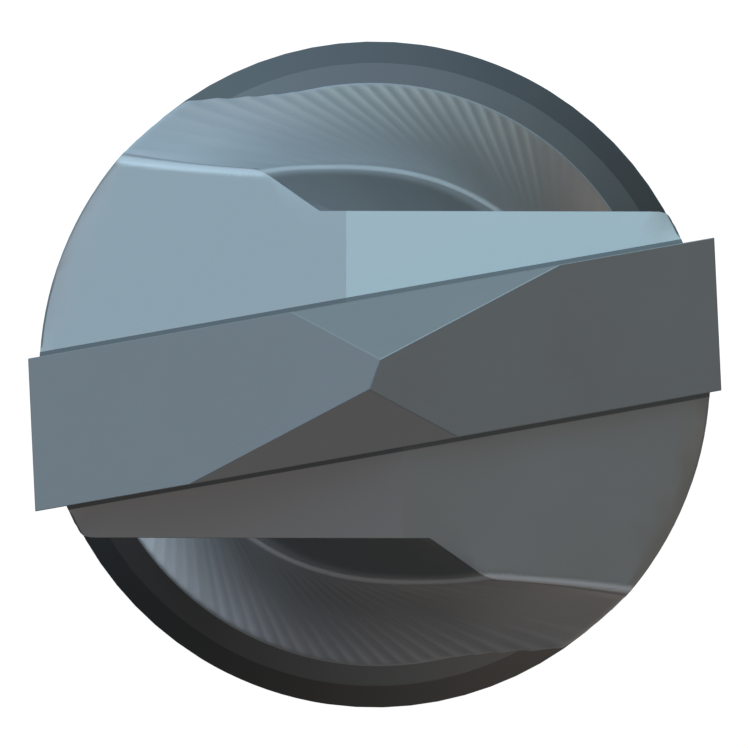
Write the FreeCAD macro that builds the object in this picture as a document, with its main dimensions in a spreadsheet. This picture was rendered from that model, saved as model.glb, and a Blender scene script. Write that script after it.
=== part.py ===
import FreeCAD, Part
import math
import os

import Sketcher

# Masonry drill bit with a brazed carbide plate, two helical flutes and a slotted hammer shank.
# It stands on its rear face: the origin is the middle of that face and +Z runs to the tip.
# +X runs along the carbide plate.  Heights are measured up from the rear face, depths down from the tip.

document = FreeCAD.newDocument("masonry_drill_bit")
sheet = document.addObject("Spreadsheet::Sheet", "size")

driving_sizes = [
    ("overall_length", 110.0),
    # slotted shank
    ("shank_diameter", 10.0),
    ("shank_length", 62.0),
    ("rear_chamfer", 0.8),
    ("drive_groove_width", 3.0),
    ("drive_groove_floor_span", 7.5),
    ("drive_groove_length", 26.0),
    ("drive_groove_runout_radius", 12.0),
    ("lock_groove_radius", 3.5),
    ("lock_groove_floor_span", 6.7),
    ("lock_groove_start", 9.0),
    ("lock_groove_length", 20.0),
    # shoulder between the shank and the spiral
    ("shoulder_edge_diameter", 9.34),
    ("shoulder_edge_height", 1.2),
    ("shoulder_cone_height", 1.3),
    # spiral
    ("spiral_diameter", 8.14),
    ("flute_floor_distance", 2.75),
    ("flute_root_reach", 1.7),
    ("flute_root_radius", 1.3),
    ("flute_heading", 82.4),
    ("head_lead", 180.0),
    ("spiral_lead", 34.0),
    ("twist_start_depth", 3.5),
    ("twist_full_depth", 13.5),
    ("plain_neck_length", 2.5),
    ("flute_runout_length", 6.5),
    # head
    ("head_diameter", 9.2),
    ("head_depth", 7.9),
    ("head_blend_radius", 5.5),
    ("head_turn", 10.0),
    ("crown_drop", 0.74),
    ("crown_ridge_offset", 0.39),
    ("crown_fall_angle", 17.0),
    ("gash_wall_distance", 2.24),
    ("gash_depth", 13.0),
    ("gash_top_offset", -1.125),
    ("gash_top_heading", 152.0),
    ("gash_bottom_offset", 1.94),
    ("gash_bottom_heading", 112.8),
    # carbide plate
    ("tip_diameter", 10.02),
    ("plate_thickness", 2.08),
    ("plate_height", 8.0),
    ("plate_end_relief", 7.2),
    ("point_angle", 130.0),
    ("relief_angle", 15.0),
    ("notch_angle", 43.8),
    ("notch_turn", -4.4),
    ("notch_offset", 0.19),
    # braze film between the plate and its slot
    ("braze_thickness", 0.06),
    # how far a cutter starts or ends outside the steel
    ("cutter_clearance", 1.0),
]

for row, (alias, value) in enumerate(driving_sizes, start=1):
    sheet.set(f"A{row}", alias)
    sheet.set(f"B{row}", str(value))
    sheet.setAlias(f"B{row}", alias)
document.recompute()


def value_of(expression):
    """Value of an expression on the sheet's sizes, in mm or degrees."""
    result = sheet.evalExpression(expression)
    return float(getattr(result, "Value", result))


def new_body(name):
    body = document.addObject("PartDesign::Body", name)
    body.Label = name
    return body


def origin_feature(body, role):
    for feature in body.Origin.OriginFeatures:
        if feature.Role == role:
            return feature
    raise ValueError(f"{body.Name} has no {role}")


def draw_sketch(body, name, role, corners, turn="0", axis_at=None):
    """Closed outline on an origin plane, turned about +Z if asked.

    Each corner is (across, up) or, where the edge to the next corner is an arc,
    (across, up, radius, side): side is +1 if the arc's centre lies left of the edge, -1 if right.
    """
    sketch = body.newObject("Sketcher::SketchObject", name)
    sketch.AttachmentSupport = [(origin_feature(body, role), "")]
    sketch.MapMode = "FlatFace"
    if turn != "0":
        up_axis = FreeCAD.Vector(0, 1, 0)
        turned = FreeCAD.Rotation(up_axis, value_of(turn))
        sketch.AttachmentOffset = FreeCAD.Placement(FreeCAD.Vector(), turned)
        sketch.setExpression(".AttachmentOffset.Rotation.Angle", turn)
    places = [FreeCAD.Vector(value_of(corner[0]), value_of(corner[1]), 0) for corner in corners]
    starts = []
    for index, corner in enumerate(corners):
        here, there = places[index], places[(index + 1) % len(places)]
        if len(corner) == 2:
            sketch.addGeometry(Part.LineSegment(here, there))
            starts.append((1, 2))
            continue
        radius, side = value_of(corner[2]), corner[3]
        chord = there - here
        left = FreeCAD.Vector(-chord.y, chord.x, 0).normalize()
        centre = (here + there) * 0.5 + left * side * math.sqrt(radius ** 2 - chord.Length ** 2 / 4)
        middle = centre - left * side * radius
        sketch.addGeometry(Part.Arc(here, middle, there))
        starts.append((1, 2) if side > 0 else (2, 1))
        sketch.addConstraint(Sketcher.Constraint("Radius", index, radius))
        sketch.setExpression(f"Constraints[{sketch.ConstraintCount - 1}]", corner[2])
    for index, corner in enumerate(corners):
        following = (index + 1) % len(corners)
        sketch.addConstraint(
            Sketcher.Constraint("Coincident", index, starts[index][1], following, starts[following][0]))
        for kind, expression, place in (("DistanceX", corner[0], places[index].x),
                                        ("DistanceY", corner[1], places[index].y)):
            if place == 0 and expression == "0":
                target = -2 if kind == "DistanceX" else -1
                sketch.addConstraint(Sketcher.Constraint("PointOnObject", index, starts[index][0], target))
                continue
            sketch.addConstraint(Sketcher.Constraint(kind, -1, 1, index, starts[index][0], place))
            sketch.setExpression(f"Constraints[{sketch.ConstraintCount - 1}]", expression)
    if axis_at:
        across = value_of(axis_at)
        foot, head = FreeCAD.Vector(across, 0, 0), FreeCAD.Vector(across, 1, 0)
        line = sketch.addGeometry(Part.LineSegment(foot, head), True)
        sketch.addConstraint(Sketcher.Constraint("Vertical", line))
        sketch.addConstraint(Sketcher.Constraint("PointOnObject", line, 1, -1))
        sketch.addConstraint(Sketcher.Constraint("DistanceX", -1, 1, line, 1, across))
        sketch.setExpression(f"Constraints[{sketch.ConstraintCount - 1}]", axis_at)
        sketch.addConstraint(Sketcher.Constraint("DistanceY", line, 1, line, 2, 1))
    document.recompute()
    return sketch


def revolve(body, name, kind, sketch, axis):
    feature = body.newObject(kind, name)
    feature.Profile = sketch
    feature.ReferenceAxis = axis
    feature.Angle = 360
    document.recompute()
    return feature


def cut_through(body, name, sketch, length, midplane=True, direction=None, reversed_side=False):
    """Pocket along the sketch's normal, or along a direction of its own."""
    pocket = body.newObject("PartDesign::Pocket", name)
    pocket.Profile = sketch
    pocket.setExpression("Length", length)
    pocket.Midplane = midplane
    pocket.Reversed = reversed_side
    if direction is not None:
        pocket.UseCustomVector = True
        pocket.Direction = direction
    volume_before = body.Tip.Shape.Volume if body.Tip is not pocket else 0
    document.recompute()
    if volume_before and pocket.Shape.Volume >= volume_before:
        raise ValueError(f"{name} removes nothing")
    return pocket


def both_sides(body, name, feature):
    """The same cut again, half a turn round the axis."""
    pattern = body.newObject("PartDesign::PolarPattern", name)
    pattern.Originals = [feature]
    pattern.Axis = (origin_feature(body, "Z_Axis"), [""])
    pattern.Angle = 360
    pattern.Occurrences = 2
    body.Tip = pattern
    volume_before = feature.Shape.Volume
    document.recompute()
    if pattern.Shape.Volume >= volume_before:
        raise ValueError(f"{name} removes nothing")
    return pattern


# Steel blank, turned in one piece from the rear face to the head
steel_blank = new_body("steel_blank")
spiral_radius = "size.spiral_diameter / 2"
head_radius = "size.head_diameter / 2"
shank_radius = "size.shank_diameter / 2"
shoulder_edge_radius = "size.shoulder_edge_diameter / 2"
shoulder_top = "size.shank_length + size.shoulder_edge_height + size.shoulder_cone_height"
head_foot = "size.overall_length - size.head_depth"
# The blend is tangent to the spiral's land, so its length follows from its radius and the step
head_step = "((size.head_diameter - size.spiral_diameter) / 2)"
blend_length = f"sqrt(2 * size.head_blend_radius * {head_step} - {head_step} ^ 2)"

turned_profile = draw_sketch(steel_blank, "turned_profile", "XZ_Plane", [
    ("0", "0"),
    (f"{shank_radius} - size.rear_chamfer", "0"),
    (shank_radius, "size.rear_chamfer"),
    (shank_radius, "size.shank_length"),
    (shoulder_edge_radius, "size.shank_length + size.shoulder_edge_height"),
    (spiral_radius, shoulder_top),
    (spiral_radius, f"{head_foot} - {blend_length}", "size.head_blend_radius", -1),
    (head_radius, head_foot),
    (head_radius, "size.overall_length"),
    ("0", "size.overall_length"),
])
revolve(steel_blank, "turned_blank", "PartDesign::Revolution", turned_profile,
        (origin_feature(steel_blank, "Z_Axis"), [""]))

# Two drive grooves, open at the rear face, running out in the cutter's own radius
groove_clear = f"{shank_radius} + size.cutter_clearance"
drive_floor = "size.drive_groove_floor_span / 2"
runout_rise = f"({groove_clear} - {drive_floor})"
runout_length = f"sqrt(2 * size.drive_groove_runout_radius * {runout_rise} - {runout_rise} ^ 2)"
drive_profile = draw_sketch(steel_blank, "drive_groove_profile", "XZ_Plane", [
    (drive_floor, "-size.cutter_clearance"),
    (groove_clear, "-size.cutter_clearance"),
    (groove_clear, f"size.drive_groove_length + {runout_length}", "size.drive_groove_runout_radius", -1),
    (drive_floor, "size.drive_groove_length"),
])
drive_groove = cut_through(steel_blank, "drive_groove", drive_profile, "size.drive_groove_width")
both_sides(steel_blank, "drive_grooves", drive_groove)

# Two closed lock grooves at right angles to them, round-bottomed and ball-ended
lock_centre = "size.lock_groove_floor_span / 2 + size.lock_groove_radius"
lock_floor = "size.lock_groove_floor_span / 2"
# How far a ball end reaches along the shank's surface past the ball's own centre
ball_reach = f"sqrt(size.lock_groove_radius ^ 2 - ({lock_centre} - {shank_radius}) ^ 2)"
first_ball = f"size.lock_groove_start + {ball_reach}"
last_ball = f"size.lock_groove_start + size.lock_groove_length - {ball_reach}"
lock_profile = draw_sketch(steel_blank, "lock_groove_profile", "YZ_Plane", [
    (lock_centre, f"{first_ball} - size.lock_groove_radius", "size.lock_groove_radius", -1),
    (lock_floor, first_ball),
    (lock_floor, last_ball, "size.lock_groove_radius", -1),
    (lock_centre, f"{last_ball} + size.lock_groove_radius"),
], axis_at=lock_centre)
lock_axis = (lock_profile, ["Axis0"])
lock_groove = revolve(steel_blank, "lock_groove", "PartDesign::Groove", lock_profile, lock_axis)
both_sides(steel_blank, "lock_grooves", lock_groove)

# Crown: two ground faces on each side of the plate, meeting on a ridge that falls away outwards
crown_slope = "tan(90 deg - size.point_angle * 1 deg / 2)"
crown_reach = "size.head_diameter"
crown_profile = draw_sketch(steel_blank, "crown_profile", "XZ_Plane", [
    (f"-size.crown_ridge_offset - {crown_reach}",
     f"size.overall_length - size.crown_drop - {crown_reach} * {crown_slope}"),
    ("-size.crown_ridge_offset", "size.overall_length - size.crown_drop"),
    (f"{crown_reach} - size.crown_ridge_offset",
     f"size.overall_length - size.crown_drop - {crown_reach} * {crown_slope}"),
    (f"{crown_reach} - size.crown_ridge_offset", f"size.overall_length + {crown_reach}"),
    (f"-size.crown_ridge_offset - {crown_reach}", f"size.overall_length + {crown_reach}"),
], turn="-size.head_turn")
crown_heading = math.radians(90 - value_of("size.head_turn"))
crown_fall = math.radians(value_of("size.crown_fall_angle"))
crown_direction = FreeCAD.Vector(math.cos(crown_heading) * math.cos(crown_fall),
                                 math.sin(crown_heading) * math.cos(crown_fall), -math.sin(crown_fall))
crown_cut = cut_through(steel_blank, "crown_cut", crown_profile, crown_reach, midplane=False,
                        direction=crown_direction, reversed_side=False)
both_sides(steel_blank, "crown_cuts", crown_cut)


def twist_at(depth):
    """Turn of the flutes in degrees from the tip down to a depth.

    The rate is that of the long lead in the head and eases, as a smooth step, to that of the spiral's lead.
    """
    head_rate = 360 / value_of("size.head_lead")
    spiral_rate = 360 / value_of("size.spiral_lead")
    start, full = value_of("size.twist_start_depth"), value_of("size.twist_full_depth")
    share = min(max((depth - start) / (full - start), 0), 1)
    eased = (full - start) * (share ** 3 - share ** 4 / 2)
    return head_rate * depth + (spiral_rate - head_rate) * (eased + max(depth - full, 0))


def flute_section(depth, floor_distance, reach):
    """Section of the flute's cutter: a straight flank, a round root and a steep back wall."""
    root_x, root_radius = value_of("size.flute_root_reach"), value_of("size.flute_root_radius")
    flank_end = math.sqrt(reach ** 2 - floor_distance ** 2)
    flank_start = FreeCAD.Vector(-flank_end, floor_distance, 0)
    root_start = FreeCAD.Vector(root_x, floor_distance, 0)
    root_middle = FreeCAD.Vector(root_x + root_radius * math.sin(math.pi / 4),
                                 floor_distance + root_radius * (1 - math.cos(math.pi / 4)), 0)
    root_end = FreeCAD.Vector(root_x + root_radius, floor_distance + root_radius, 0)
    wall_x = root_x + root_radius
    wall_end = FreeCAD.Vector(wall_x, math.sqrt(reach ** 2 - wall_x ** 2), 0)
    outside = FreeCAD.Vector(0, reach, 0)
    section = Part.Wire([
        Part.LineSegment(flank_start, root_start).toShape(),
        Part.Arc(root_start, root_middle, root_end).toShape(),
        Part.LineSegment(root_end, wall_end).toShape(),
        Part.Arc(wall_end, outside, flank_start).toShape(),
    ])
    height = value_of("size.overall_length") - depth
    turn = FreeCAD.Rotation(FreeCAD.Vector(0, 0, 1), value_of("size.flute_heading") - 90 - twist_at(depth))
    section.Placement = FreeCAD.Placement(FreeCAD.Vector(0, 0, height), turn)
    return section


def flute_cutter_shape():
    """Sections turned down the helix, which back out of the steel ahead of the plain neck."""
    floor = value_of("size.flute_floor_distance")
    land = value_of(spiral_radius)
    end_depth = value_of(f"size.overall_length - ({shoulder_top}) - size.plain_neck_length")
    runout = value_of("size.flute_runout_length")
    reach = 2 * max(land, value_of(head_radius))
    clearance = value_of("size.cutter_clearance")
    first_depth, last_depth = -clearance, end_depth + clearance
    # A section every twelve degrees or so keeps the smooth surface between them on the helix
    steps = math.ceil((twist_at(last_depth) - twist_at(first_depth)) / 12)
    sections = []
    for step in range(steps + 1):
        depth = first_depth + (last_depth - first_depth) * step / steps
        lift = max(depth - (end_depth - runout), 0) / runout
        sections.append(flute_section(depth, floor + (land - floor) * lift ** 2, reach))
    return Part.makeLoft(sections, True, False, False, 5)


def gash_cutter_shape():
    """Straight wall ahead of the cutting edge, and a warped wall that leads from it into the flute."""
    wall = value_of("size.gash_wall_distance")
    reach = value_of("size.head_diameter")
    full_depth = value_of("size.gash_depth")
    top_offset, bottom_offset = value_of("size.gash_top_offset"), value_of("size.gash_bottom_offset")
    top_lean = 1 / math.tan(math.radians(value_of("size.gash_top_heading")))
    bottom_lean = 1 / math.tan(math.radians(value_of("size.gash_bottom_heading")))
    outlines = []
    for depth in (-value_of("size.cutter_clearance"), full_depth):
        share = depth / full_depth
        offset = (1 - share) * top_offset + share * bottom_offset
        lean = (1 - share) * top_lean + share * bottom_lean
        height = value_of("size.overall_length") - depth
        outlines.append(Part.makePolygon([
            FreeCAD.Vector(offset, wall, height),
            FreeCAD.Vector(reach, wall, height),
            FreeCAD.Vector(reach, wall + reach, height),
            FreeCAD.Vector(offset + reach * lean, wall + reach, height),
            FreeCAD.Vector(offset, wall, height),
        ]))
    return Part.makeLoft(outlines, True, True)


cutters = []
for cutter_name, cutter_shape, cutter_turn in (
        ("flute_cutter", flute_cutter_shape(), 0),
        ("gash_cutter", gash_cutter_shape(), -value_of("size.head_turn"))):
    for side_name, side_turn in (("front", 0), ("back", 180)):
        cutter = document.addObject("Part::Feature", f"{cutter_name}_{side_name}")
        cutter.Shape = cutter_shape
        cutter.Placement = FreeCAD.Placement(
            FreeCAD.Vector(), FreeCAD.Rotation(FreeCAD.Vector(0, 0, 1), cutter_turn + side_turn))
        cutters.append(cutter)

fluted_steel = steel_blank
for number, cutter in enumerate(cutters, start=1):
    cut = document.addObject("Part::Cut", f"fluted_steel_{number}")
    cut.Base = fluted_steel
    cut.Tool = cutter
    fluted_steel = cut
document.recompute()

# Slot across the head, as wide as the plate with braze on both faces
slot_reach = "size.tip_diameter"
plate_slot = document.addObject("Part::Box", "plate_slot")
plate_slot.setExpression("Length", f"2 * {slot_reach}")
plate_slot.setExpression("Width", "size.plate_thickness + 2 * size.braze_thickness")
plate_slot.setExpression("Height", "size.plate_height + size.braze_thickness + size.head_diameter")
plate_slot.setExpression(".Placement.Base.x", f"-{slot_reach}")
plate_slot.setExpression(".Placement.Base.y", "-(size.plate_thickness / 2 + size.braze_thickness)")
slot_foot = "size.overall_length - size.plate_height - size.braze_thickness"
plate_slot.setExpression(".Placement.Base.z", slot_foot)

steel_body = document.addObject("Part::Cut", "steel_body")
steel_body.Label = "steel_body"
steel_body.Base = fluted_steel
steel_body.Tool = plate_slot

# Carbide plate: a bar with relieved ends, ground to a point with a notch on each side
carbide_tip = new_body("carbide_tip")
half_thickness = "size.plate_thickness / 2"
leading_reach = f"sqrt((size.tip_diameter / 2) ^ 2 - ({half_thickness}) ^ 2)"
trailing_reach = f"({leading_reach} - size.plate_thickness * tan(size.plate_end_relief * 1 deg))"
plate_foot = "size.overall_length - size.plate_height"
plate_outline = draw_sketch(carbide_tip, "plate_outline", "XY_Plane", [
    (trailing_reach, f"-{half_thickness}"),
    (leading_reach, half_thickness),
    (f"-{trailing_reach}", half_thickness),
    (f"-({leading_reach})", f"-{half_thickness}"),
])
plate_outline.setExpression(".AttachmentOffset.Base.z", plate_foot)
plate_bar = carbide_tip.newObject("PartDesign::Pad", "plate_bar")
plate_bar.Profile = plate_outline
plate_bar.setExpression("Length", "size.plate_height")
document.recompute()

# Main faces: planes falling from the chisel edge at the point angle, and at the relief angle behind each edge
point_slope = "tan(90 deg - size.point_angle * 1 deg / 2)"
relief_slope = "tan(size.relief_angle * 1 deg)"
chisel_heading = f"atan2({point_slope}; {relief_slope})"
roof_slope = f"sqrt({point_slope} ^ 2 + {relief_slope} ^ 2)"
roof_reach = "size.tip_diameter"
roof_profile = draw_sketch(carbide_tip, "roof_profile", "XZ_Plane", [
    (f"-{roof_reach}", f"size.overall_length - {roof_reach} * {roof_slope}"),
    ("0", "size.overall_length"),
    (roof_reach, f"size.overall_length - {roof_reach} * {roof_slope}"),
    (roof_reach, f"size.overall_length + {roof_reach}"),
    (f"-{roof_reach}", f"size.overall_length + {roof_reach}"),
], turn=f"{chisel_heading} - 90 deg")
cut_through(carbide_tip, "roof_faces", roof_profile, f"2 * {roof_reach}")

# Notch that thins the chisel edge, one on each side
notch_slope = "tan(size.notch_angle * 1 deg)"
notch_profile = draw_sketch(carbide_tip, "notch_profile", "YZ_Plane", [
    ("0", "size.overall_length + size.notch_offset"),
    (roof_reach, f"size.overall_length + size.notch_offset - {roof_reach} * {notch_slope}"),
    (roof_reach, "size.overall_length + size.notch_offset"),
], turn="size.notch_turn")
notch = cut_through(carbide_tip, "notch", notch_profile, f"2 * {roof_reach}")
both_sides(carbide_tip, "notches", notch)

# Braze film: what fills the slot round the plate's two faces and its foot
slot_filling = document.addObject("Part::Common", "slot_filling")
slot_filling.Base = fluted_steel
slot_filling.Tool = plate_slot
plate_room = document.addObject("Part::Box", "plate_room")
plate_room.setExpression("Length", f"2 * {slot_reach}")
plate_room.setExpression("Width", "size.plate_thickness")
plate_room.setExpression("Height", "size.plate_height + size.head_diameter")
plate_room.setExpression(".Placement.Base.x", f"-{slot_reach}")
plate_room.setExpression(".Placement.Base.y", "-size.plate_thickness / 2")
plate_room.setExpression(".Placement.Base.z", plate_foot)
braze_joint = document.addObject("Part::Cut", "braze_joint")
braze_joint.Label = "braze_joint"
braze_joint.Base = slot_filling
braze_joint.Tool = plate_room
document.recompute()

faults = []
for item in document.Objects:
    if "Invalid" in item.State or "Error" in item.State:
        faults.append(f"{item.Name}: {item.State}")
sub_parts = [steel_body, carbide_tip, braze_joint]
for item in sub_parts:
    if item.Shape.isNull() or not item.Shape.isValid():
        faults.append(f"{item.Label}: no valid shape")
if faults:
    raise ValueError("; ".join(faults))

os.makedirs("parts", exist_ok=True)
for item in sub_parts:
    item.Shape.exportStep(f"parts/{item.Label}.step")
    print(item.Label, len(item.Shape.Solids), "solid", round(item.Shape.Volume, 3), "mm3",
          len(item.Shape.Faces), "faces")
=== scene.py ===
import bmesh
import bpy
import numpy as np
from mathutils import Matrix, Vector


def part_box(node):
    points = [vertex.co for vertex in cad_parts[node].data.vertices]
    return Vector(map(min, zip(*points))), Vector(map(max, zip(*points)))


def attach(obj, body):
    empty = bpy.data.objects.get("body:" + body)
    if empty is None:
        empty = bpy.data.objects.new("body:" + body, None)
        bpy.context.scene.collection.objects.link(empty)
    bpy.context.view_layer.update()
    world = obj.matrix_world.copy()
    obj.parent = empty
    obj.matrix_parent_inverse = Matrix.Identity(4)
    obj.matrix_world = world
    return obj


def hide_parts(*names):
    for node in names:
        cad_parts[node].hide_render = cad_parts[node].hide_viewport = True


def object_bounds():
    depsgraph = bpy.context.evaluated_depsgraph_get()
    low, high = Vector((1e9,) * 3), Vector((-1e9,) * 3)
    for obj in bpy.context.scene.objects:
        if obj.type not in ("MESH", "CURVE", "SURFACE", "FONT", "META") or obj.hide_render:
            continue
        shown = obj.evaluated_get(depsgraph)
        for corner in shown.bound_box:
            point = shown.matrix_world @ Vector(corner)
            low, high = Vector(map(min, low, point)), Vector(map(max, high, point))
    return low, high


# Masonry drill bit, standing on its rear face: lengths in this file are millimetres until a mesh is made.
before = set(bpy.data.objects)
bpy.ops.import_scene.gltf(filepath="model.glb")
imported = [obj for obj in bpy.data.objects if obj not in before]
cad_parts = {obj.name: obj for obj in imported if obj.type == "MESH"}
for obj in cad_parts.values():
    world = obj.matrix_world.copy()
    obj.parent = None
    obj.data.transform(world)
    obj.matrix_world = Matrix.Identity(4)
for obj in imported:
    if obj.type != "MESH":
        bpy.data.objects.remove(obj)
cadLow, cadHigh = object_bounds()
metre = 0.001                                             # one millimetre in scene units
tipHeight = cadHigh.z / metre
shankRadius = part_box("steel_body")[1].x / metre
print(f"frame loaded: {tipHeight:.1f} mm tall, shank radius {shankRadius:.2f} mm")


# A grid of points becomes quads, closed round its columns, with a flat face at each end or left open there.
def gridObject(name, points, ends=True):
    rows, columns = points.shape[:2]
    index = np.arange(rows * columns).reshape(rows, columns)
    here, beside = index[:-1], np.roll(index, -1, axis=1)[:-1]
    below, belowBeside = index[1:], np.roll(index, -1, axis=1)[1:]
    faces = np.stack([here, beside, belowBeside, below], axis=-1).reshape(-1, 4).tolist()
    if ends:
        faces += [index[0, ::-1].tolist(), index[-1].tolist()]
    mesh = bpy.data.meshes.new(name)
    mesh.from_pydata((points.reshape(-1, 3) * metre).tolist(), [], faces)
    mesh.validate()
    thing = bpy.data.objects.new(name, mesh)
    bpy.context.scene.collection.objects.link(thing)
    return thing


def turned(points, degrees):
    # the same points turned about the bit's axis
    angle = np.radians(degrees)
    cosine, sine = np.cos(angle), np.sin(angle)
    x, y, z = np.moveaxis(points, -1, 0)
    return np.stack([x * cosine - y * sine, x * sine + y * cosine, z], axis=-1)


def meshPoints(mesh, part="vertices", field="co"):
    # where a mesh's vertices are, or the centres of its faces, in millimetres
    items = getattr(mesh, part)
    flat = np.empty(len(items) * 3, np.float32)
    items.foreach_get(field, flat)
    return flat.reshape(-1, 3).astype(float) / metre


# The steel's sizes, in millimetres and degrees. Heights over the rear face are every Top, shoulderEdge,
# shoulderFoot, driveLength and lockStart. Places under the tip are every Depth, headEnd and the twist's two.
steelSizes = {
    "spiralRadius": 4.07, "headRadius": 4.6, "headDepth": 7.9, "headBlend": 5.5,
    "fluteFloor": 2.75, "rootReach": 1.7, "rootRadius": 1.3, "fluteHeading": 82.4,
    "headLead": 180.0, "spiralLead": 34.0, "twistStart": 3.5, "twistFull": 13.5,
    "neckTop": 67.0, "runoutTop": 73.5, "shoulderTop": 64.5, "shoulderEdge": 63.2, "shoulderFoot": 62.0,
    "shoulderRadius": 4.67, "rearChamfer": 0.8, "topDepth": 0.3,
    "headTurn": 10.0, "crownDrop": 0.74, "crownRidge": -0.39, "crownSlope": 0.4663, "crownFall": 0.3057,
    "gashWall": 2.24, "gashDepth": 13.0, "gashOffsets": (-1.125, 1.94), "gashHeadings": (152.0, 112.8),
    "gashRunout": 0.5, "gashEase": 0.1, "slotHalfWidth": 1.1, "slotDepth": 8.06,
    "driveWidth": 3.0, "driveFloor": 3.75, "driveLength": 26.0, "driveRunout": 12.0, "driveReach": 1.0,
    "lockRadius": 3.5, "lockFloor": 3.35, "lockStart": 9.0, "lockLength": 20.0,
    "cornerRadius": 0.05, "crestRadius": 0.1, "edgeRadius": 0.02, "rimRadius": 0.15,
    "ribTurn": 3.4, "ribHeight": 0.026, "ribGrowth": 0.62, "ribRootFade": 0.8, "ribRunout": 3.0,
    "ribClear": 0.05, "ribFade": 0.22,                        # how far the ribs keep from the ground surfaces
    "headRowsPerRib": 6, "spiralRowsPerRib": 3, "landColumns": 34, "leastHalfWidth": 0.9, "flankShare": 0.62,
    "columnCrowd": (0, 0.02, 0.045, 0.08, 0.13),              # the first columns' distances from a corner
    "headEnd": 14.6, "shankTop": 50.0,                        # where the mesh is divided for its cuts
    "crestReach": 0.17, "crestStep": 0.065,                   # the finer mesh beside the crest
    "crestBend": 0.04,                                        # the least bend at the crest, in radians
    "sharpAngle": 32.0,
}


# Turn of the flutes in degrees from the tip down: a slow rate in the head, eased into the spiral's rate.
def twist(depth):
    s = steelSizes
    headRate, spiralRate = 360 / s["headLead"], 360 / s["spiralLead"]
    span = s["twistFull"] - s["twistStart"]
    share = np.clip((depth - s["twistStart"]) / span, 0, 1)
    eased = span * (share ** 3 - share ** 4 / 2)
    held = np.minimum(depth, tipHeight - s["neckTop"])
    return headRate * held + (spiralRate - headRate) * (eased + np.maximum(held - s["twistFull"], 0))


def twistRate(depth):
    # degrees of turn for each millimetre of depth
    return (twist(depth + 0.05) - twist(depth - 0.05)) / 0.1


# Outer radius at a depth: head, hollow blend, spiral land, neck, two-step shoulder, shank and rear chamfer.
def landRadius(depth):
    s = steelSizes
    step = s["headRadius"] - s["spiralRadius"]
    blendEnd = s["headDepth"] + np.sqrt(2 * s["headBlend"] * step - step ** 2)
    up = np.clip(blendEnd - depth, 0, blendEnd - s["headDepth"])
    head = s["spiralRadius"] + s["headBlend"] - np.sqrt(s["headBlend"] ** 2 - up ** 2)
    heights = [0, s["rearChamfer"], s["shoulderFoot"], s["shoulderEdge"], s["shoulderTop"]]
    radii = [shankRadius - s["rearChamfer"], shankRadius, shankRadius, s["shoulderRadius"], s["spiralRadius"]]
    return np.where(depth < blendEnd, head, np.interp(tipHeight - depth, heights, radii))


# Distance of the flute's floor from the axis: even, then rising to the land in a parabola at the run-out.
def floorDistance(depth):
    s = steelSizes
    end, start = tipHeight - s["neckTop"], tipHeight - s["runoutTop"]
    lift = np.clip((depth - start) / (end - start), 0, 2)
    return s["fluteFloor"] + (s["spiralRadius"] - s["fluteFloor"]) * lift ** 2


# Milling marks: a row of shallow scallops with sharp crests between them, one for each step of the twist and
# higher where the steps are longer.
def ribRise(across, depth):
    s = steelSizes
    scallop = 1 - np.abs(np.sin(np.pi * twist(depth) / s["ribTurn"]))
    longer = (360 / s["spiralLead"] / np.maximum(twistRate(depth), 360 / s["headLead"])) ** s["ribGrowth"]
    fade = np.clip((s["rootReach"] - across) / s["ribRootFade"], 0, 1)
    runout = np.clip((tipHeight - s["neckTop"] - depth) / s["ribRunout"], 0, 1)
    return s["ribHeight"] * scallop * longer * fade * runout


# Height of the flute's surface in its own section: flat flank, then a round root.
def fluteHeight(across, depth):
    s = steelSizes
    past = np.clip(across - s["rootReach"], 0, s["rootRadius"] * 0.99999)
    root = s["rootRadius"] - np.sqrt(s["rootRadius"] ** 2 - past ** 2)
    return floorDistance(depth) + root


def steelRows():
    # depths of the grid's rows: even steps of twist along the flutes, then the shoulder's and shank's rows
    s = steelSizes
    fine = np.linspace(s["topDepth"], tipHeight - s["neckTop"], 6000)
    turns = twist(fine)
    headTurns = np.interp(s["headEnd"], fine, turns)
    steps = np.concatenate([
        np.arange(turns[0], headTurns, s["ribTurn"] / s["headRowsPerRib"]),
        np.arange(headTurns, turns[-1], s["ribTurn"] / s["spiralRowsPerRib"])])
    fluted = np.interp(steps, turns, fine)
    corners = [s["neckTop"], s["shoulderTop"], s["shoulderEdge"], s["shoulderFoot"], s["rearChamfer"]]
    near = [tipHeight - corner + offset for corner in corners for offset in (-0.1, -0.05, 0, 0.05, 0.1)]
    plain = np.arange(tipHeight - s["neckTop"] + 0.5, tipHeight - 1.2, 0.8)
    return np.unique(np.concatenate([fluted, near, plain, [tipHeight]]))


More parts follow.
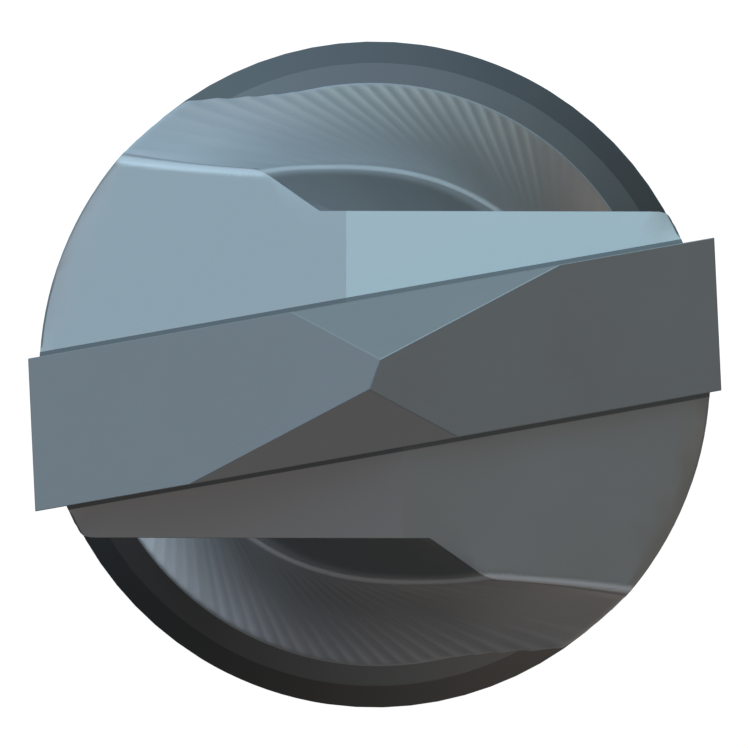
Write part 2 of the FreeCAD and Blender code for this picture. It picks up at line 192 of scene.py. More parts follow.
# Section of the steel at every depth, as columns that follow the flute's flank and root and then the land,
# with columns crowded beside the corners. A corner lies where flank or root meets the land's circle.
def steelGrid(depth):
    s = steelSizes
    radius, floor = landRadius(depth)[:, None], floorDistance(depth)[:, None]
    chord = np.sqrt(np.maximum(radius ** 2 - floor ** 2, 0))
    rootY = floor + s["rootRadius"]
    away = np.hypot(s["rootReach"], rootY)
    sine = (radius ** 2 - away ** 2 - s["rootRadius"] ** 2) / (2 * s["rootRadius"] * away)
    rootTurn = np.arctan2(rootY, s["rootReach"]) + np.arcsin(np.clip(sine, -1, 1))
    rootTurn = np.clip(rootTurn, 0.05, np.pi / 2)
    inRoot = s["rootReach"] + s["rootRadius"] * np.sin(rootTurn)
    left = -np.maximum(chord, s["leastHalfWidth"])
    right = np.maximum(np.where(chord > s["rootReach"], inRoot, chord), s["leastHalfWidth"])
    middle = np.minimum(s["rootReach"], right * s["flankShare"])
    crowd = np.array(s["columnCrowd"])
    crowded = left + crowd[-1]
    flank = np.concatenate([left + crowd, crowded + (middle - crowded) * np.linspace(0, 1, 7)[1:]], axis=1)
    turnShare = np.linspace(0, 1, 9)[1:]
    turnEnd = np.arcsin(np.clip((right - middle) / s["rootRadius"], 0, 1))
    root = middle + (right - middle) * np.sin(turnShare * turnEnd) / np.maximum(np.sin(turnEnd), 1e-6)
    across = np.concatenate([flank, root], axis=1)
    inside = np.sqrt(np.maximum(radius ** 2 - across ** 2, 0))
    along = np.minimum(fluteHeight(across, depth[:, None]), inside)
    along[:, 0], along[:, -1] = inside[:, 0], inside[:, -1]
    startTurn = np.arctan2(along[:, -1:], across[:, -1:])
    endTurn = np.arctan2(along[:, :1], across[:, :1]) - np.pi
    side = crowd[1:] / radius
    span = startTurn - endTurn - 2 * side[:, -1:]
    landTurn = np.concatenate([
        startTurn - side,
        startTurn - side[:, -1:] - span * np.linspace(0, 1, s["landColumns"])[None, 1:-1],
        endTurn + side[:, ::-1],
    ], axis=1)
    half = np.stack([
        np.concatenate([across, radius * np.cos(landTurn)], axis=1),
        np.concatenate([along, radius * np.sin(landTurn)], axis=1),
    ], axis=-1)
    whole = np.concatenate([half, -half], axis=1)
    height = np.broadcast_to((tipHeight - depth)[:, None, None], whole.shape[:2] + (1,))
    points = np.concatenate([whole, height], axis=-1)
    return turned(points, (s["fluteHeading"] - 90 - twist(depth))[:, None])


def stations(lengths, step):
    # places along a row of stretches, each divided evenly into pieces no longer than the step
    parts = np.ceil(lengths / step).astype(int)
    return np.concatenate([i + np.arange(n) / n for i, n in enumerate(parts)])


# A cutter is an outline carried on to others. Its stretches are divided, so that what it cuts has even faces.
def cutterObject(name, outlines, step=0.35):
    outlines = np.array(outlines, float)
    sides = np.linalg.norm(np.roll(outlines, -1, axis=1) - outlines, axis=-1).max(axis=0)
    lifts = np.linalg.norm(np.diff(outlines, axis=0), axis=-1).max(axis=1)
    around, along = stations(sides, step), np.append(stations(lifts, step), len(lifts))
    closed = np.concatenate([outlines, outlines[:, :1]], axis=1)
    column, columnShare = around.astype(int), (around % 1)[None, :, None]
    across = closed[:, column] * (1 - columnShare) + closed[:, column + 1] * columnShare
    row = np.minimum(along.astype(int), len(lifts) - 1)
    rowShare = (along - row)[:, None, None]
    return gridObject(name, across[row] * (1 - rowShare) + across[row + 1] * rowShare)


def crownOutlines():
    s = steelSizes
    reach = 1.2 * s["headRadius"]
    foot, top = tipHeight - s["crownDrop"] - reach * s["crownSlope"], tipHeight + reach
    ridge = tipHeight - s["crownDrop"]
    profile = [(s["crownRidge"] - reach, foot), (s["crownRidge"], ridge), (s["crownRidge"] + reach, foot),
               (s["crownRidge"] + reach, top), (s["crownRidge"] - reach, top)]
    rows = [[(x, y, z - s["crownFall"] * y) for x, z in profile] for y in (reach, 0)]
    return turned(np.array(rows), -s["headTurn"])


def gashLine(share):
    # where the warped wall starts and how it leans, at a share of the gash's depth
    s = steelSizes
    leans = 1 / np.tan(np.radians(s["gashHeadings"]))
    offset = s["gashOffsets"][0] * (1 - share) + s["gashOffsets"][1] * share
    return offset, leans[0] * (1 - share) + leans[1] * share


def gashOutlines():
    s = steelSizes
    reach, wall = 1.2 * s["headRadius"], s["gashWall"]
    rows = []
    for depth in (-1.0, s["gashDepth"]):
        offset, lean = gashLine(depth / s["gashDepth"])
        foot, head = (offset, wall), (offset + reach * lean, wall + reach)
        corners = [foot, head, (reach, wall + reach), (reach, wall)]
        rows.append([(x, y, tipHeight - depth) for x, y in corners])
    return turned(np.array(rows), -s["headTurn"])


def slotOutlines():
    s = steelSizes
    reach, half = 1.5 * s["headRadius"], s["slotHalfWidth"]
    corners = [(-reach, -half), (-reach, half), (reach, half), (reach, -half)]
    return [[(x, y, z) for x, y in corners] for z in (tipHeight + 1, tipHeight - s["slotDepth"])]


def driveOutlines():
    s = steelSizes
    outside = shankRadius + s["driveReach"]
    rise = outside - s["driveFloor"]
    turn = np.linspace(0, np.arccos(1 - rise / s["driveRunout"]), 14)
    floorX = s["driveFloor"] + s["driveRunout"] * (1 - np.cos(turn))
    floorZ = s["driveLength"] + s["driveRunout"] * np.sin(turn)
    profile = [(s["driveFloor"], -s["driveReach"]), *zip(floorX, floorZ), (outside, -s["driveReach"])]
    half = s["driveWidth"] / 2
    return np.array([[(x, y, z) for x, z in profile] for y in (-half, half)])


def lockOutlines():
    # a round bar with ball ends: circles whose radius falls to nearly nothing at both ends
    s = steelSizes
    away = s["lockFloor"] + s["lockRadius"]
    reach = np.sqrt(s["lockRadius"] ** 2 - (away - shankRadius) ** 2)
    upper, lower = s["lockStart"] + s["lockLength"] - reach, s["lockStart"] + reach
    lift = np.linspace(np.radians(89.9), 0, 24)
    rise = s["lockRadius"] * np.sin(lift)
    height = np.concatenate([upper + rise, lower - rise[::-1]])
    wide = np.concatenate([np.cos(lift), np.cos(lift[::-1])]) * s["lockRadius"]
    turn = -np.linspace(0, 2 * np.pi, 72, endpoint=False)
    x, y = wide[:, None] * np.cos(turn), away + wide[:, None] * np.sin(turn)
    return np.stack([x, y, np.broadcast_to(height[:, None], x.shape)], axis=-1)


# The cutters leave the blank together. Its flat end at the seam goes too, ready for the next part.
def cutAway(blank, cutters, seam):
    group = bpy.data.collections.new("cutters")
    for cutter in cutters:
        group.objects.link(cutter)
    cut = blank.modifiers.new("cut", "BOOLEAN")
    cut.operation, cut.operand_type, cut.collection, cut.solver = "DIFFERENCE", "COLLECTION", group, "EXACT"
    cutMesh = bpy.data.meshes.new_from_object(blank.evaluated_get(bpy.context.evaluated_depsgraph_get()))
    blank.modifiers.clear()
    blank.data = cutMesh
    for cutter in cutters:
        bpy.data.objects.remove(cutter)
    bpy.data.collections.remove(group)
    bm = bmesh.new()
    bm.from_mesh(cutMesh)
    ends = [f for f in bm.faces if max(abs(v.co.z - seam * metre) for v in f.verts) < 1e-7]
    bmesh.ops.delete(bm, geom=ends, context="FACES_ONLY")
    bm.to_mesh(cutMesh)
    bm.free()


# Distances to the steel's surfaces, in millimetres and positive outside the steel.
def fluteDistance(points, ribShare):
    s = steelSizes
    depth = tipHeight - points[:, 2]
    local = turned(points, -(s["fluteHeading"] - 90 - twist(depth)))
    x, y = local[:, 0], local[:, 1]
    floor = floorDistance(depth)
    flank = y - floor - ribRise(x, depth) * ribShare
    rootX, rootY = x - s["rootReach"], y - floor - s["rootRadius"]
    root = np.where(rootY < 0, s["rootRadius"] - np.hypot(rootX, rootY), s["rootRadius"] - rootX)
    slant = 1 / np.sqrt(1 + (np.radians(twistRate(depth)) * x) ** 2)
    return np.where(x < s["rootReach"], flank, root) * slant


def gashDistance(points):
    s = steelSizes
    local = turned(points, s["headTurn"])
    x, y, depth = local[:, 0], local[:, 1], tipHeight - local[:, 2]
    offset, lean = gashLine(depth / s["gashDepth"])
    beyond = (x - offset - (y - s["gashWall"]) * lean) / np.sqrt(1 + lean ** 2)
    foot = np.clip((depth - s["gashDepth"] + s["gashRunout"]) / s["gashRunout"], 0, 1)
    beyond -= foot ** 2 * s["gashEase"]
    return np.where(depth < s["gashDepth"], np.minimum(y - s["gashWall"], beyond), -9.0)


def crownDistance(points):
    s = steelSizes
    x, y, z = turned(points, s["headTurn"]).T
    roof = tipHeight - s["crownDrop"] - s["crownSlope"] * np.abs(x - s["crownRidge"]) - s["crownFall"] * y
    return np.where(y > 0, (z - roof) / np.sqrt(1 + s["crownSlope"] ** 2 + s["crownFall"] ** 2), -9.0)


def driveDistance(points):
    s = steelSizes
    x, y, z = points.T
    past = np.clip(z - s["driveLength"], 0, s["driveRunout"] * 0.99)
    floor = s["driveFloor"] + s["driveRunout"] - np.sqrt(s["driveRunout"] ** 2 - past ** 2)
    return np.minimum(s["driveWidth"] / 2 - np.abs(y), x - floor)


def lockDistance(points):
    s = steelSizes
    away = s["lockFloor"] + s["lockRadius"]
    reach = np.sqrt(s["lockRadius"] ** 2 - (away - shankRadius) ** 2)
    x, y, z = points.T
    along = np.clip(z, s["lockStart"] + reach, s["lockStart"] + s["lockLength"] - reach)
    return s["lockRadius"] - np.sqrt(x ** 2 + (y - away) ** 2 + (z - along) ** 2)


def bothSides(distance, points, *rest):
    # the larger of a distance and that of the same form half a turn on
    return np.maximum(distance(points, *rest), distance(points * (-1, -1, 1), *rest))


# Two surfaces meet in a round edge: outside both offset surfaces the distance is to their common corner.
def roundedEdge(first, second, radius):
    a, b = np.maximum(first + radius, 0), np.maximum(second + radius, 0)
    return np.minimum(np.maximum(first, second), -radius) + np.hypot(a, b)


def surfaceDistances(points):
    # distance to each surface by its name; the ribs fade out towards the ground ones
    s = steelSizes
    land = np.hypot(points[:, 0], points[:, 1]) - landRadius(tipHeight - points[:, 2])
    gash, crown = bothSides(gashDistance, points), bothSides(crownDistance, points)
    ribShare = np.clip((-np.maximum(gash, crown) - s["ribClear"]) / s["ribFade"], 0, 1)
    return {
        "land": land, "flute": bothSides(fluteDistance, points, ribShare), "gash": gash, "crown": crown,
        "drive": bothSides(driveDistance, points), "lock": bothSides(lockDistance, points),
    }


def roundedSteel(points):
    s = steelSizes
    d = surfaceDistances(points)
    rims = roundedEdge(roundedEdge(d["land"], d["drive"], s["rimRadius"]), d["lock"], s["rimRadius"])
    fluted = roundedEdge(rims, d["flute"], s["cornerRadius"])
    ground = roundedEdge(d["crown"], d["gash"], s["edgeRadius"])
    return roundedEdge(fluted, ground, s["crestRadius"])


def onCrest(points):
    # true where the flute's surface meets the crown or the gash
    d = surfaceDistances(points)
    away = np.maximum(np.abs(d["flute"]), np.abs(np.maximum(d["gash"], d["crown"])))
    return away < 0.01


def crestPoints(mesh):
    # points along the edges where the flute's surface meets the crown or the gash
    bm = bmesh.new()
    bm.from_mesh(mesh)
    edges = [e for e in bm.edges if e.is_manifold and e.calc_face_angle() > steelSizes["crestBend"]]
    ends = np.array([[v.co[:] for v in e.verts] for e in edges]) / metre
    bm.free()
    keep = onCrest(ends[:, 0]) & onCrest(ends[:, 1])
    share = np.linspace(0, 1, 5, endpoint=False)[:, None, None]
    return (ends[None, keep, 0] * (1 - share) + ends[None, keep, 1] * share).reshape(-1, 3)


def gapTo(line, points):
    # distance from each point to the nearest point of the line
    blocks = np.array_split(points, len(points) // 5000 + 1)
    own = (line ** 2).sum(axis=1)
    squares = [((b ** 2).sum(axis=1)[:, None] + own - 2 * b @ line.T).min(axis=1) for b in blocks]
    return np.sqrt(np.maximum(np.concatenate(squares), 0))


# Long edges beside the flutes' crest are halved, so that the crest can be rounded. A triangle is halved at
# its longest side first, and two that share a side split it alike, so the surface stays closed.
def refineCrest(mesh, crest, reach, longest):
    mesh.calc_loop_triangles()
    triangles = np.empty(len(mesh.loop_triangles) * 3, np.int32)
    mesh.loop_triangles.foreach_get("vertices", triangles)
    triangles = triangles.reshape(-1, 3)
    places = meshPoints(mesh)
    for step in range(12):
        sides = np.sort(triangles[:, [[0, 1], [1, 2], [2, 0]]], axis=-1).reshape(-1, 2)
        edges, owner = np.unique(sides, axis=0, return_inverse=True)
        owner = owner.reshape(-1, 3)
        length = np.linalg.norm(places[edges[:, 0]] - places[edges[:, 1]], axis=1)
        middle = places[edges].mean(axis=1)
        split = np.zeros(len(edges), bool)
        long = np.flatnonzero(length > longest)
        split[long] = gapTo(crest, middle[long]) < reach + 0.5 * length[long]
        if not split.any():
            break
        turn = length[owner].argmax(axis=1)
        order = (turn[:, None] + np.arange(3)) % 3
        triangles = np.take_along_axis(triangles, order, axis=1)
        owner = np.take_along_axis(owner, order, axis=1)
        for spread in range(8):
            split[owner[split[owner].any(axis=1), 0]] = True
        number = np.full(len(edges), -1)
        number[split] = len(places) + np.arange(split.sum())
        places = np.concatenate([places, middle[split]])
        (a, b, c), (ab, bc, ca) = triangles.T, number[owner].T
        cut = ab >= 0
        pieces = [
            ((a, b, c), ~cut), ((a, ab, c), cut & (ca < 0)), ((ab, b, c), cut & (bc < 0)),
            ((a, ab, ca), cut & (ca >= 0)), ((ca, ab, c), cut & (ca >= 0)),
            ((ab, b, bc), cut & (bc >= 0)), ((ab, bc, c), cut & (bc >= 0)),
        ]
        triangles = np.concatenate([np.stack(corners, axis=1)[where] for corners, where in pieces])
    mesh.clear_geometry()
    mesh.from_pydata((places * metre).tolist(), [], triangles.tolist())


def pullOnto(mesh, distance, steps):
    # each vertex moves down the distance's own slope until the distance is nought, but stays where it is in
    # the plate's slot, on the rear face and far from the form
    s = steelSizes
    points = meshPoints(mesh)
    reach = 0.002
    inSlot = np.abs(points[:, 1]) < s["slotHalfWidth"] + 0.02
    inSlot &= points[:, 2] > tipHeight - s["slotDepth"] - 0.01
    for step in range(steps):
        value = distance(points)
        slope = np.stack([
            distance(points + np.eye(3)[axis] * reach) - distance(points - np.eye(3)[axis] * reach)
            for axis in range(3)], axis=-1) / (2 * reach)
        size = np.maximum((slope ** 2).sum(axis=1), 0.25)
        move = -(value / size)[:, None] * slope
        move[inSlot | (np.abs(value) > 0.2) | (points[:, 2] < 0.001)] = 0
        points += move
    mesh.vertices.foreach_set("co", (points * metre).astype(np.float32).ravel())
    mesh.update()


# Parts cut from one grid share their end rows, which are merged.
def joinedParts(parts):
    bm = bmesh.new()
    for part in parts:
        bm.from_mesh(part.data)
    bmesh.ops.remove_doubles(bm, verts=[v for v in bm.verts if v.is_boundary], dist=1e-7)
    bmesh.ops.holes_fill(bm, edges=[e for e in bm.edges if e.is_boundary], sides=3)
    bm.to_mesh(parts[0].data)
    bm.free()
    for part in parts[1:]:
        bpy.data.objects.remove(part)
    return parts[0]


# Widths of the marks beside the crest, in millimetres: the flute, the crest's painted highlight and the
# painted shade line beside it.
markSizes = {
    "flute": 0.11, "fluteSoft": 0.05, "crest": 0.095, "crestSoft": 0.045,
    "shadeLineAt": 0.155, "shadeLineSoft": 0.055, "shadeLineFill": 1.2, "shadeLineReach": 0.4, "shadeLineFade": 0.2,
    "onFlute": 0.03, "nearFlute": 0.2,
}


def mark(mesh, name, domain, values):
    attribute = mesh.attributes.new(name, "FLOAT", domain)
    attribute.data.foreach_set("value", np.asarray(values, np.float32))


# The mesh says how each place was made: ground gash and crown by face, milled flute by point. By point also
# where light is painted: the painted highlight on the crest and the painted shade line beside it.
def markFinishes(mesh, crest):
    s = markSizes
    sides = np.empty(len(mesh.polygons), np.int32)
    mesh.polygons.foreach_get("loop_total", sides)
    d = surfaceDistances(meshPoints(mesh, "polygons", "center"))
    nearest = np.argmin(np.abs(np.stack(list(d.values()))), axis=0)
    for name in ("gash", "crown"):
        mark(mesh, name, "CORNER", np.repeat(nearest == list(d).index(name), sides))
    places = meshPoints(mesh)
    d = surfaceDistances(places)
    flute = np.abs(d["flute"])
    mark(mesh, "flute", "POINT", np.clip((s["flute"] - flute) / s["fluteSoft"], 0, 1))
    away = np.full(len(places), 1.0)
    near = np.flatnonzero((flute < s["nearFlute"]) & (places[:, 2] > tipHeight - steelSizes["headEnd"]))
    away[near] = gapTo(crest, places[near])
    # the crest's mark, for a painted highlight along it
    mark(mesh, "crest", "POINT", np.clip((s["crest"] - away) / s["crestSoft"], 0, 1))
    # a painted shade line beside the crest, where a small groove's shade would fall
    paintedShadeLine = np.clip(s["shadeLineFill"] - np.abs(away - s["shadeLineAt"]) / s["shadeLineSoft"], 0, 1)
    paintedShadeLine *= np.clip((s["shadeLineReach"] - np.abs(d["crown"])) / s["shadeLineFade"], 0, 1)
    mark(mesh, "paintedShadeLine", "POINT", np.where(flute < s["onFlute"], paintedShadeLine, 0))


def makeSteel():
    s = steelSizes
    depths = steelRows()
    grid = steelGrid(depths)
    headRow = np.searchsorted(depths, s["headEnd"])
    shankRow = np.searchsorted(depths, tipHeight - s["shankTop"])
    head = gridObject("FlutedSteel", grid[:headRow + 1])
    spiral = gridObject("spiral", grid[headRow:shankRow + 1], ends=False)
    shank = gridObject("shank", grid[shankRow:])
    headCutters = [cutterObject("slotCutter", slotOutlines())]
    shankCutters = []
    for turn in (0, 180):
        headCutters.append(cutterObject("crownCutter", turned(crownOutlines(), turn)))
        headCutters.append(cutterObject("gashCutter", turned(gashOutlines(), turn)))
        shankCutters.append(cutterObject("driveCutter", turned(driveOutlines(), turn), 0.8))
        shankCutters.append(cutterObject("lockCutter", turned(lockOutlines(), turn), 0.8))
    cutAway(head, headCutters, tipHeight - depths[headRow])
    print(f"head cut: {len(head.data.polygons)} faces")
    crest = crestPoints(head.data)
    refineCrest(head.data, crest, s["crestReach"], s["crestStep"])
    print(f"crest refined: {len(head.data.polygons)} faces")
    cutAway(shank, shankCutters, tipHeight - depths[shankRow])
    print(f"shank cut: {len(shank.data.polygons)} faces")
    steel = joinedParts([head, spiral, shank])
    pullOnto(steel.data, roundedSteel, 3)
    markFinishes(steel.data, crest)
    steel.data.shade_smooth()
    steel.data.set_sharp_from_angle(angle=np.radians(s["sharpAngle"]))
    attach(steel, "root")
    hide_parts("steel_body")
    return steel


steel = makeSteel()
print(f"steel: {len(steel.data.polygons)} faces")


plateSizes = {
    "thickness": 2.08, "endLean": 0.1263, "mainSlope": 0.4663, "reliefSlope": 0.2679,
    "notchSlope": 0.959, "notchRise": 0.19, "notchTurn": -4.4, "edgeRadius": 0.012, "edgeAngle": 12.0,
}


# The plate is the space under its ground faces: a block whose faces are planes, cut one after another.
def makePlate():
    s = plateSizes
    low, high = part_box("carbide_tip")
    half, lead = s["thickness"] / 2, high.x / metre
    bm = bmesh.new()
    bmesh.ops.create_cube(bm, size=2 * (tipHeight * metre - low.z) * 1.2)
    bmesh.ops.translate(bm, verts=bm.verts[:], vec=Vector((0, 0, tipHeight * metre)))
    notchX, notchY = np.sin(np.radians(-s["notchTurn"])), np.cos(np.radians(-s["notchTurn"]))
    sideways = 1 / np.hypot(1, s["endLean"])
    planes = [
        ((0, half, 0), (0, 1, 0)), ((0, 0, low.z / metre), (0, 0, -1)),
        ((lead, half, 0), (sideways, -s["endLean"] * sideways, 0)),
        ((0, 0, tipHeight), (s["mainSlope"], -s["reliefSlope"], 1)),
        ((0, 0, tipHeight + s["notchRise"]), (s["notchSlope"] * notchX, s["notchSlope"] * notchY, 1)),
    ]
    for place, normal in planes:                          # all but the foot come twice, half a turn apart
        for turn in ((1,) if normal[2] == -1 else (1, -1)):
            spot = Vector((place[0] * turn, place[1] * turn, place[2])) * metre
            cut = bmesh.ops.bisect_plane(bm, geom=bm.verts[:] + bm.edges[:] + bm.faces[:], plane_co=spot,
                                         plane_no=Vector((normal[0] * turn, normal[1] * turn, normal[2])),
                                         clear_outer=True)
            rim = [e for e in cut["geom_cut"] if isinstance(e, bmesh.types.BMEdge)]
            bmesh.ops.contextual_create(bm, geom=rim)
    bmesh.ops.recalc_face_normals(bm, faces=bm.faces[:])
    mesh = bpy.data.meshes.new("CarbidePlate")
    bm.to_mesh(mesh)
    bm.free()
    plate = bpy.data.objects.new("CarbidePlate", mesh)
    bpy.context.scene.collection.objects.link(plate)
    edges = plate.modifiers.new("edges", "BEVEL")
    edges.width, edges.segments, edges.limit_method = s["edgeRadius"] * metre, 3, "ANGLE"
    edges.angle_limit = np.radians(s["edgeAngle"])
    edges.harden_normals = True
    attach(plate, "root")
    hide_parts("carbide_tip")
    return plate


plate = makePlate()
print("plate made")


# A wire carries a socket: sums and comparisons written with it add their Math nodes.
class Wire:
    def __init__(self, nodes, socket):
        self.nodes, self.socket = nodes, socket

    def __add__(self, other):
        return self.nodes.math("ADD", self, other)

    def __radd__(self, other):
        return self.nodes.math("ADD", other, self)

    def __sub__(self, other):
        return self.nodes.math("SUBTRACT", self, other)

    def __rsub__(self, other):
        return self.nodes.math("SUBTRACT", other, self)

    def __mul__(self, other):
        return self.nodes.math("MULTIPLY", self, other)

    def __rmul__(self, other):
        return self.nodes.math("MULTIPLY", other, self)

    def __pow__(self, other):
        return self.nodes.math("POWER", self, other)

    def __rpow__(self, other):
        return self.nodes.math("POWER", other, self)

    def __gt__(self, other):
        return self.nodes.math("GREATER_THAN", self, other)

    def __lt__(self, other):
        return self.nodes.math("LESS_THAN", self, other)


# The nodes of one material or world. add() takes a type, its settings and what goes into its sockets, and
# gives the node's outputs by name.
class Nodes:
    def __init__(self, owner):
        owner.use_nodes = True
        self.tree = owner.node_tree
        self.tree.nodes.clear()

    def add(self, kind, settings=None, sockets=None):
        node = self.tree.nodes.new(kind)
        for name, value in (settings or {}).items():
            setattr(node, name, value)
        for name, value in (sockets or {}).items():
            if isinstance(value, Wire):
                self.tree.links.new(value.socket, node.inputs[name])
            else:
                node.inputs[name].default_value = value
        return {output.name: Wire(self, output) for output in node.outputs if output.enabled}

    def math(self, operation, first, second):
        return self.add("ShaderNodeMath", {"operation": operation}, {0: first, 1: second})["Value"]

    def noise(self, place, scale, detail):
        sockets = {"Vector": place, "Scale": scale, "Detail": detail, "Roughness": 0.6}
        return self.add("ShaderNodeTexNoise", {}, sockets)["Fac"]

    def lines(self, place, stretch, detail):
        # fine lines: noise that is squeezed along some axes
        squeezed = self.add("ShaderNodeMapping", {}, {"Vector": place, "Scale": stretch})["Vector"]
        return self.noise(squeezed, 1.0, detail)

    def blend(self, factor, first, second):
        # a mix of two colours
        return self.add("ShaderNodeMix", {"data_type": "RGBA"}, {0: factor, 6: first, 7: second})["Result"]

    def scaled(self, colour, factor):
        sockets = {0: colour, "Scale": factor}
        return self.add("ShaderNodeVectorMath", {"operation": "SCALE"}, sockets)["Vector"]

    def share(self, value, low, high):
        # 0 up to low, 1 from high and smooth between
        sockets = {"Value": value, "From Min": low, "From Max": high}
        return self.add("ShaderNodeMapRange", {"interpolation_type": "SMOOTHSTEP"}, sockets)["Result"]

    def metal(self, colour, metallic, roughness, height, strength):
        # the metal's shader, with its marks as bump 0.01 mm high
        sockets = {"Height": height, "Strength": strength, "Distance": 0.00001}
        bump = self.add("ShaderNodeBump", {}, sockets)["Normal"]
        shader = self.add("ShaderNodeBsdfPrincipled", {}, {
            "Base Color": colour, "Metallic": metallic, "Roughness": roughness, "Normal": bump})["BSDF"]
        self.add("ShaderNodeOutputMaterial", {}, {"Surface": shader})


# Tones of the steel. fluteRoot to fluteRim is painted light, lighter to the rim; gash, the shoulders' bands
# and the shade line are painted shade; crest is a painted highlight.
steelFinish = {
    "turned": (0.57, 0.575, 0.58), "gash": (0.45, 0.455, 0.46), "crown": (0.58, 0.59, 0.59),
    "crest": (0.95, 0.96, 0.97), "fluteRoot": (0.7, 0.705, 0.71), "fluteRim": (0.97, 0.975, 0.98),
    "rimLightFrom": 3.0, "rimLightTo": 4.1, "lowerShoulderShade": 0.43, "upperShoulderShade": 0.62, "shadeLineDarkening": 0.35,
    "crestHighlightDullness": 0.45, "roughness": 0.5, "roughnessSpread": 0.08, "toneSpread": 0.1, "blotchScale": 420.0,
    "bump": 0.12, "turnedStretch": (300.0, 300.0, 16000.0), "groundStretch": (9000.0, 9000.0, 2500.0),
}


# Steel by how it was made: turned shank, milled flutes, ground gash and crown.
# Light and shade are painted on it too: the flutes are painted lighter, most at their rim. The gash and the
# shoulder's bands are painted darker as shade, with a painted highlight on the crest and a painted shade line
# beside it.
def steelMaterial():
    s = steelFinish
    material = bpy.data.materials.new("steel")
    nodes = Nodes(material)
    place = nodes.add("ShaderNodeTexCoord")["Object"]
    parts = nodes.add("ShaderNodeSeparateXYZ", {}, {"Vector": place})
    radius = (parts["X"] * parts["X"] + parts["Y"] * parts["Y"]) ** 0.5
    # painted light and shade: the flutes are painted lighter toward their rim and darker toward their root
    fluteRimLight = nodes.share(radius, s["rimLightFrom"] * metre, s["rimLightTo"] * metre)
    marks = {name: nodes.add("ShaderNodeAttribute", {"attribute_name": name})["Fac"]
             for name in ("flute", "gash", "crown", "crest", "paintedShadeLine")}
    fluteColour = nodes.blend(fluteRimLight, (*s["fluteRoot"], 1), (*s["fluteRim"], 1))
    # painted shade: the gash is painted darker than the crown, as shade in its pocket
    colour = nodes.blend(marks["gash"], (*s["turned"], 1), (*s["gash"], 1))
    colour = nodes.blend(marks["crown"], colour, (*s["crown"], 1))
    colour = nodes.blend(marks["flute"], colour, fluteColour)
    # painted highlight: the crest is painted nearly white
    colour = nodes.blend(marks["crest"], colour, (*s["crest"], 1))
    # painted shade: the shoulder's two bands are painted darker, as if they lay in shade
    foot, edge, top = (steelSizes[name] * metre for name in ("shoulderFoot", "shoulderEdge", "shoulderTop"))
    lower = (parts["Z"] > foot) * (parts["Z"] < edge)
    upper = (parts["Z"] > edge) * (parts["Z"] < top)
    shade = 1 - lower * (1 - s["lowerShoulderShade"]) - upper * (1 - s["upperShoulderShade"])
    blotches = nodes.noise(place, s["blotchScale"], 4.0)
    # the painted shade line darkens the steel beside the crest
    tone = shade * (1 + (blotches - 0.5) * s["toneSpread"]) * (1 - marks["paintedShadeLine"] * s["shadeLineDarkening"])
    turnedMarks = nodes.lines(place, s["turnedStretch"], 2.0)
    groundMarks = nodes.lines(place, s["groundStretch"], 3.0)
    ground = marks["gash"] + marks["crown"] + marks["flute"]
    height = turnedMarks + (groundMarks - turnedMarks) * ground
    roughness = s["roughness"] + (blotches - 0.5) * s["roughnessSpread"]
    # less metallic at the crest, so that its painted highlight takes more light
    metallic = 1 - marks["crest"] * s["crestHighlightDullness"]
    nodes.metal(nodes.scaled(colour, tone), metallic, roughness, height, s["bump"])
    return material


carbideFinish = {
    "colour": (0.4, 0.4, 0.4), "metallic": 1.0, "roughness": 0.5, "roughnessSpread": 0.06, "toneSpread": 0.1,
    "blotchScale": 600.0, "grainStretch": (6000.0, 12000.0, 6000.0), "bump": 0.1,
}
brazeFinish = {**carbideFinish, "colour": (0.24, 0.25, 0.25), "metallic": 0.6, "roughness": 0.6}


def evenMetal(name, s):
    # one metal all over, with faint blotches and a fine grain
    material = bpy.data.materials.new(name)
    nodes = Nodes(material)
    place = nodes.add("ShaderNodeTexCoord")["Object"]
    blotches = nodes.noise(place, s["blotchScale"], 4.0)
    grain = nodes.lines(place, s["grainStretch"], 3.0)
    roughness = s["roughness"] + (blotches - 0.5) * s["roughnessSpread"]
    tone = 1 + (blotches - 0.5) * s["toneSpread"]
    nodes.metal(nodes.scaled(s["colour"], tone), s["metallic"], roughness, grain, s["bump"])
    return material


def dress(thing, material):
    if not thing.material_slots:
        thing.data.materials.append(material)
    for slot in thing.material_slots:
        slot.material = material


dress(steel, steelMaterial())
dress(plate, evenMetal("carbide", carbideFinish))
dress(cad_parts["braze_joint"], evenMetal("braze", brazeFinish))
print("materials made")


floorSizes = {"halfWidth": 0.5, "height": -0.00002, "paint": 0.25, "glow": 0.97}     # metres


def makeFloor():
    s = floorSizes
    wide, height = s["halfWidth"], s["height"]
    corners = [(-wide, -wide, height), (wide, -wide, height), (wide, wide, height), (-wide, wide, height)]
    mesh = bpy.data.meshes.new("floor")
    mesh.from_pydata(corners, [], [(0, 1, 2, 3)])
    floor = bpy.data.objects.new("floor", mesh)
    bpy.context.scene.collection.objects.link(floor)
    material = bpy.data.materials.new("paleFloor")
    nodes = Nodes(material)
    paint = nodes.add("ShaderNodeBsdfDiffuse", {}, {"Color": (s["paint"], s["paint"], s["paint"], 1)})["BSDF"]
    glow = nodes.add("ShaderNodeEmission", {}, {"Color": (1, 1, 1, 1), "Strength": s["glow"]})["Emission"]
    both = nodes.add("ShaderNodeAddShader", {}, {0: paint, 1: glow})["Shader"]
    nodes.add("ShaderNodeOutputMaterial", {}, {"Surface": both})
    mesh.materials.append(material)
    floor.visible_glossy = False
    floor.visible_diffuse = False


# The camera looks straight down the axis. The picture is the frame turned about it.
cameraSizes = {
    "aboveTip": 471.0, "pixelsPerMm": 73.4, "imageWidth": 748, "axisAt": (374.75, 374.5), "turn": 10.0,
}


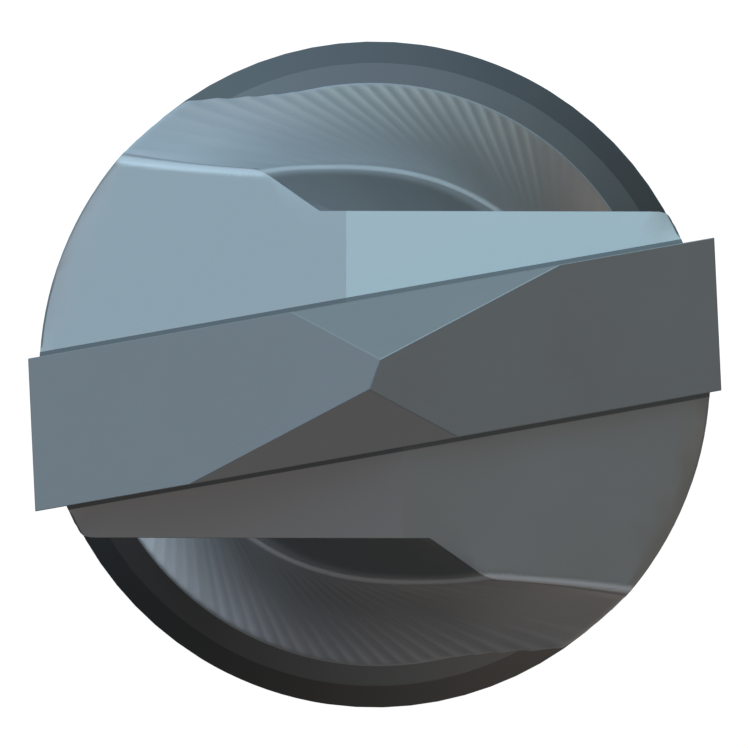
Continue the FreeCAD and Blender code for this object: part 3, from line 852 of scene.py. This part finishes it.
def makeCamera():
    s = cameraSizes
    camera = bpy.data.cameras.new("camera")
    camera.sensor_width = 36.0
    camera.lens = s["pixelsPerMm"] * s["aboveTip"] * camera.sensor_width / s["imageWidth"]
    camera.shift_x = (s["imageWidth"] / 2 - s["axisAt"][0]) / s["imageWidth"]
    camera.shift_y = (s["axisAt"][1] - s["imageWidth"] / 2) / s["imageWidth"]
    camera.clip_start, camera.clip_end = 0.05, 2.0
    thing = bpy.data.objects.new("camera", camera)
    bpy.context.scene.collection.objects.link(thing)
    thing.location = (0, 0, (tipHeight + s["aboveTip"]) * metre)
    thing.rotation_euler = (0, 0, np.radians(-s["turn"]))
    bpy.context.scene.camera = thing


# Soft lights far away: heading in the picture (0 right, 90 up), height over the horizon, and colour.
lightSpread = 9.0
studioLights = {
    "keyRight": (45, 30, (0.69, 0.97, 1.1)), "keyBack": (90, 30, (0.4, 0.57, 0.72)),
    "keyLeft": (135, 30, (0.44, 0.71, 0.82)), "top": (45, 60, (0.35, 0.72, 1.06)),
    "topLeft": (135, 60, (0.24, 0.21, 0.26)), "back": (67, 0, (0.32, 0.4, 0.33)),
    "side": (157, 0, (0.52, 0.54, 0.66)), "belowBack": (90, -30, (0.13, 0.12, 0.22)),
    "belowLeft": (135, -30, (0.32, 0.45, 0.47)), "warm": (0, 30, (0.3, 0.19, 0.08)),
    "frontLeft": (225, 30, (0.24, 0.21, 0.19)), "front": (270, 10, (0.31, 0.3, 0.3)),
    "frontRight": (322, -28, (0.18, 0.15, 0.14)), "lowRight": (300, -15, (0.08, 0.1, 0.11)),
    "lowBack": (108, -60, (0.17, 0.3, 0.37)), "lowFront": (324, -60, (0.1, 0.07, 0.04)),
}


# Each light's strength falls off from its middle as exp(spread * (cosine of the angle - 1)).
def makeSky():
    world = bpy.data.worlds.new("studio")
    nodes = Nodes(world)
    bpy.context.scene.world = world
    direction = nodes.add("ShaderNodeTexCoord")["Generated"]
    glow = (0.0, 0.0, 0.0)
    for heading, height, colour in studioLights.values():
        turn, lift = np.radians(heading - cameraSizes["turn"]), np.radians(height)
        middle = (np.cos(lift) * np.cos(turn), np.cos(lift) * np.sin(turn), np.sin(lift))
        sockets = {0: direction, 1: middle}
        cosine = nodes.add("ShaderNodeVectorMath", {"operation": "DOT_PRODUCT"}, sockets)["Value"]
        share = np.e ** ((cosine - 1) * lightSpread)
        sockets = {0: glow, 1: nodes.scaled(colour, share)}
        glow = nodes.add("ShaderNodeVectorMath", {"operation": "ADD"}, sockets)["Vector"]
    seen = nodes.add("ShaderNodeLightPath")["Is Camera Ray"]
    lit = nodes.add("ShaderNodeBackground", {}, {"Color": glow, "Strength": 1.0})["Background"]
    white = nodes.add("ShaderNodeBackground", {}, {"Color": (1, 1, 1, 1), "Strength": 1.0})["Background"]
    both = nodes.add("ShaderNodeMixShader", {}, {0: seen, 1: lit, 2: white})["Shader"]
    nodes.add("ShaderNodeOutputWorld", {}, {"Surface": both})


makeFloor()
makeCamera()
makeSky()
bpy.context.scene.view_settings.view_transform = "Standard"
print("floor, camera and light made")
